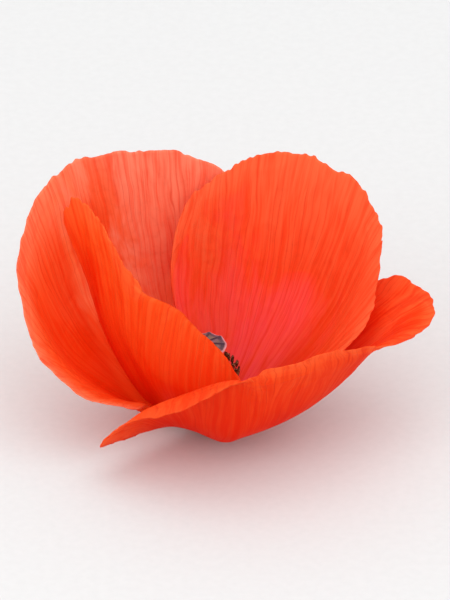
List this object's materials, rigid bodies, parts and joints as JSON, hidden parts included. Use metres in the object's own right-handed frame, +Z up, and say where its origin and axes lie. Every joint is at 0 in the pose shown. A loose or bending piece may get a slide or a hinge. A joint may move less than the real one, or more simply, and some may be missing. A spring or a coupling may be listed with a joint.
{
  "type": "corn poppy flower",
  "caption": "Open red poppy blossom with crumpled cupped petals, a rayed seed-head cap, a ring of dark stamens and a short cut stalk.",
  "frame": {"origin": "middle of the blossom's footprint, on the surface that it stands on", "axes": "+Z up through the cup, +X towards the open right flap of the outer front petal, -Y towards the front"},
  "size_m": [0.0702, 0.0528, 0.0408],
  "materials": {
    "petal_outer": "thin silky petal, coral red, satin sheen, lighter where light shines through",
    "petal_inner": "thin silky petal, orange red with a pinkish base, satin sheen",
    "stalk": "fresh green stalk, fine hairs, satin",
    "ovary": "smooth waxy green capsule",
    "stigma": "velvety mauve-grey cap with dark rays",
    "stamen": "dark purple-brown anthers on thin dark filaments"
  },
  "bodies": {
    "root": {"petal_outer_left": "petal_outer", "petal_outer_front": "petal_outer", "petal_inner_back": "petal_inner", "petal_inner_front": "petal_inner", "receptacle_stalk": "stalk", "ovary": "ovary", "stigma_cap": "stigma", "stamen_01": "stamen", "stamen_02": "stamen", "stamen_03": "stamen", "stamen_04": "stamen", "stamen_05": "stamen", "stamen_06": "stamen", "stamen_07": "stamen", "stamen_08": "stamen", "stamen_09": "stamen", "stamen_10": "stamen", "stamen_11": "stamen", "stamen_12": "stamen", "stamen_13": "stamen", "stamen_14": "stamen", "stamen_15": "stamen", "stamen_16": "stamen", "stamen_17": "stamen", "stamen_18": "stamen", "stamen_19": "stamen", "stamen_20": "stamen", "stamen_21": "stamen", "stamen_22": "stamen", "stamen_23": "stamen", "stamen_24": "stamen", "stamen_25": "stamen", "stamen_26": "stamen", "stamen_27": "stamen", "stamen_28": "stamen", "stamen_29": "stamen", "stamen_30": "stamen", "stamen_31": "stamen", "stamen_32": "stamen", "stamen_33": "stamen", "stamen_34": "stamen", "stamen_35": "stamen", "stamen_36": "stamen", "stamen_37": "stamen", "stamen_38": "stamen", "stamen_39": "stamen", "stamen_40": "stamen", "stamen_41": "stamen", "stamen_42": "stamen", "stamen_43": "stamen", "stamen_44": "stamen", "stamen_45": "stamen", "stamen_46": "stamen", "stamen_47": "stamen", "stamen_48": "stamen"}
  },
  "joints": []
}
